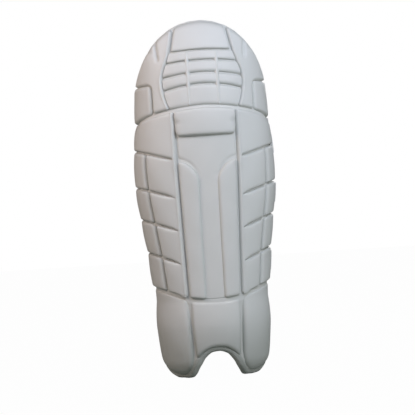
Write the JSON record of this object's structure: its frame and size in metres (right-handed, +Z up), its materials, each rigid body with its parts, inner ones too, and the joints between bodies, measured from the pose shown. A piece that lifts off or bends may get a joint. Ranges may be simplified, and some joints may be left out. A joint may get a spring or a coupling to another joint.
{
  "type": "cricket leg guard",
  "caption": "Moulded cricket leg guard with a quilted knee roll, a ribbed shin section, an arched instep section and fabric straps that close behind the leg.",
  "frame": {"origin": "on the floor the guard stands on, below the middle of its bounding box", "axes": "+Z up the shin; the padded front faces -Y and the leg stands on the +Y side; +X towards the wing that the straps close on"},
  "size_m": [0.2477, 0.1712, 0.609],
  "materials": {
    "facing": "matt white polyurethane facing over moulded foam",
    "backing": "closed-cell foam, white",
    "lining": "brushed white lining fabric",
    "plate": "moulded plastic impact plate",
    "webbing": "white padded strap fabric",
    "loop": "white loop pile of a touch fastener"
  },
  "bodies": {
    "shin": {"ankle_strap_anchor": "webbing", "ankle_strap_loop_patch": "loop", "calf_strap_anchor": "webbing", "calf_strap_loop_patch": "loop", "centre_bolster_left": "facing", "centre_bolster_right": "facing", "centre_panel": "facing", "inner_shin_roll_left": "lining", "inner_shin_roll_right": "lining", "knee_strap_anchor": "webbing", "knee_strap_loop_patch": "loop", "shin_backing": "backing", "shin_impact_plate": "plate", "shin_lining": "lining", "shin_tab": "facing", "shin_top_panel_left": "facing", "shin_top_panel_right": "facing", "side_bolster_inner_left_1": "facing", "side_bolster_inner_left_2": "facing", "side_bolster_inner_left_3": "facing", "side_bolster_inner_left_4": "facing", "side_bolster_inner_right_1": "facing", "side_bolster_inner_right_2": "facing", "side_bolster_inner_right_3": "facing", "side_bolster_inner_right_4": "facing", "side_bolster_outer_left_1": "facing", "side_bolster_outer_left_2": "facing", "side_bolster_outer_left_3": "facing", "side_bolster_outer_left_4": "facing", "side_bolster_outer_right_1": "facing", "side_bolster_outer_right_2": "facing", "side_bolster_outer_right_3": "facing", "side_bolster_outer_right_4": "facing"},
    "knee": {"knee_backing": "backing", "knee_cup": "lining", "knee_lining": "lining", "knee_roll_centre_1": "facing", "knee_roll_centre_2": "facing", "knee_roll_centre_3": "facing", "knee_roll_centre_4": "facing", "knee_roll_left_1": "facing", "knee_roll_left_2": "facing", "knee_roll_left_3": "facing", "knee_roll_left_4": "facing", "knee_roll_right_1": "facing", "knee_roll_right_2": "facing", "knee_roll_right_3": "facing", "knee_roll_right_4": "facing", "knee_side_panel_left": "facing", "knee_side_panel_right": "facing", "knee_wing_block_left": "facing", "knee_wing_block_right": "facing", "top_hat_centre_panel": "facing"},
    "instep": {"instep_backing": "backing", "instep_centre_panel": "facing", "instep_side_panel_left": "facing", "instep_side_panel_right": "facing"},
    "knee_strap": {"knee_strap": "webbing"},
    "calf_strap": {"calf_strap": "webbing"},
    "ankle_strap": {"ankle_strap": "webbing"}
  },
  "joints": [
    {"name": "knee_flex", "type": "hinge", "parent": "shin", "child": "knee", "pos_m": [0, -0.02293, 0.44175], "axis": [-1, 0, 0], "range_deg": [0, 15]},
    {"name": "instep_flex", "type": "hinge", "parent": "shin", "child": "instep", "pos_m": [0, -0.06123, 0.1325], "axis": [-1, 0, 0], "range_deg": [0, 12]},
    {"name": "knee_strap_open", "type": "hinge", "parent": "shin", "child": "knee_strap", "pos_m": [-0.08444, 0.04765, 0.396], "axis": [0, 0, 1], "range_deg": [0, 80]},
    {"name": "calf_strap_open", "type": "hinge", "parent": "shin", "child": "calf_strap", "pos_m": [-0.08434, 0.04765, 0.31], "axis": [0, 0, 1], "range_deg": [0, 80]},
    {"name": "ankle_strap_open", "type": "hinge", "parent": "shin", "child": "ankle_strap", "pos_m": [-0.06925, 0.04765, 0.191], "axis": [0, 0, 1], "range_deg": [0, 80]}
  ]
}
